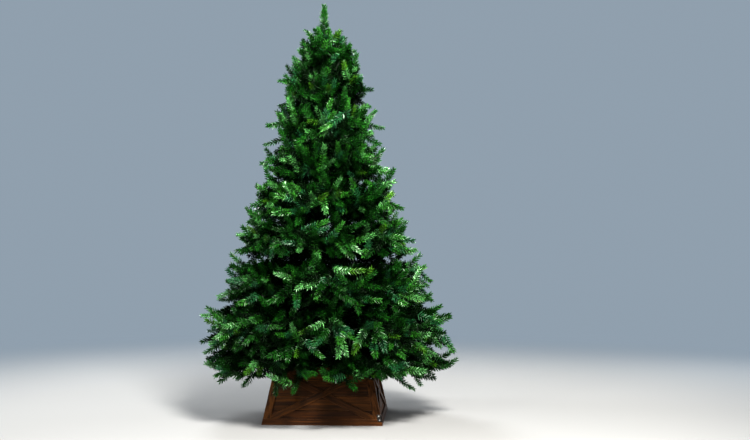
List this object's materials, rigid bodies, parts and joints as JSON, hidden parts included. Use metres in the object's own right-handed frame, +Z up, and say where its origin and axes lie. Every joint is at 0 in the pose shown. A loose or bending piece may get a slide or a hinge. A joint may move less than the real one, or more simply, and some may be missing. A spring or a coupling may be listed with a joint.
{
  "type": "artificial christmas tree on a stand in a wooden collar",
  "caption": "Tall full artificial Christmas tree: steel pole with hinged boughs of green needle sprays, on a folding steel stand inside a flared wooden collar with crossed battens.",
  "frame": {"origin": "on the floor, at the centre of the stand socket's flat underside, on the pole's axis", "axes": "+Z up along the pole, -Y towards the collar's front, +X to its right seen from the front"},
  "size_m": [1.3381, 1.3427, 2.1],
  "materials": {
    "foliage": "semi-gloss cut film needles in several deep greens",
    "pole": "dark green enamel",
    "stand": "black satin powder coat",
    "collar": "dark walnut stain, satin",
    "hinges": "dark leaves with bright nickel screws"
  },
  "bodies": {
    "root": {"pole": "pole", "stand_socket": "stand", "stand_leg_1": "stand", "stand_leg_2": "stand", "stand_leg_3": "stand", "stand_leg_4": "stand", "collar_front": "collar", "collar_right": "collar", "collar_back": "collar", "collar_left": "collar", "hinge_1_low": "hinges", "hinge_1_high": "hinges", "hinge_2_low": "hinges", "hinge_2_high": "hinges", "hinge_3_low": "hinges", "hinge_3_high": "hinges", "hinge_4_low": "hinges", "hinge_4_high": "hinges", "foliage_tier1_mass1": "foliage", "foliage_tier1_mass2": "foliage", "foliage_tier1_mass3": "foliage", "foliage_tier1_mass4": "foliage", "foliage_tier1_mass5": "foliage", "foliage_tier1_mass6": "foliage", "foliage_tier2_mass1": "foliage", "foliage_tier2_mass2": "foliage", "foliage_tier2_mass3": "foliage", "foliage_tier2_mass4": "foliage", "foliage_tier2_mass5": "foliage", "foliage_tier2_mass6": "foliage", "foliage_tier3_mass1": "foliage", "foliage_tier3_mass2": "foliage", "foliage_tier3_mass3": "foliage", "foliage_tier3_mass4": "foliage", "foliage_tier3_mass5": "foliage", "foliage_tier4_mass1": "foliage", "foliage_tier4_mass2": "foliage", "foliage_tier4_mass3": "foliage", "foliage_tier4_mass4": "foliage", "foliage_tier4_mass5": "foliage", "foliage_tier5_mass1": "foliage", "foliage_tier5_mass2": "foliage", "foliage_tier5_mass3": "foliage", "foliage_tier5_mass4": "foliage", "foliage_tier5_mass5": "foliage", "foliage_tier6_mass1": "foliage", "foliage_tier6_mass2": "foliage", "foliage_tier6_mass3": "foliage", "foliage_tier6_mass4": "foliage", "foliage_tier7_mass1": "foliage", "foliage_tier7_mass2": "foliage", "foliage_tier7_mass3": "foliage", "foliage_tier7_mass4": "foliage", "foliage_tier8_mass1": "foliage", "foliage_tier8_mass2": "foliage", "foliage_tier8_mass3": "foliage", "foliage_tier9_mass1": "foliage", "foliage_tier9_mass2": "foliage", "foliage_tier9_mass3": "foliage", "foliage_leader": "foliage"}
  },
  "joints": []
}
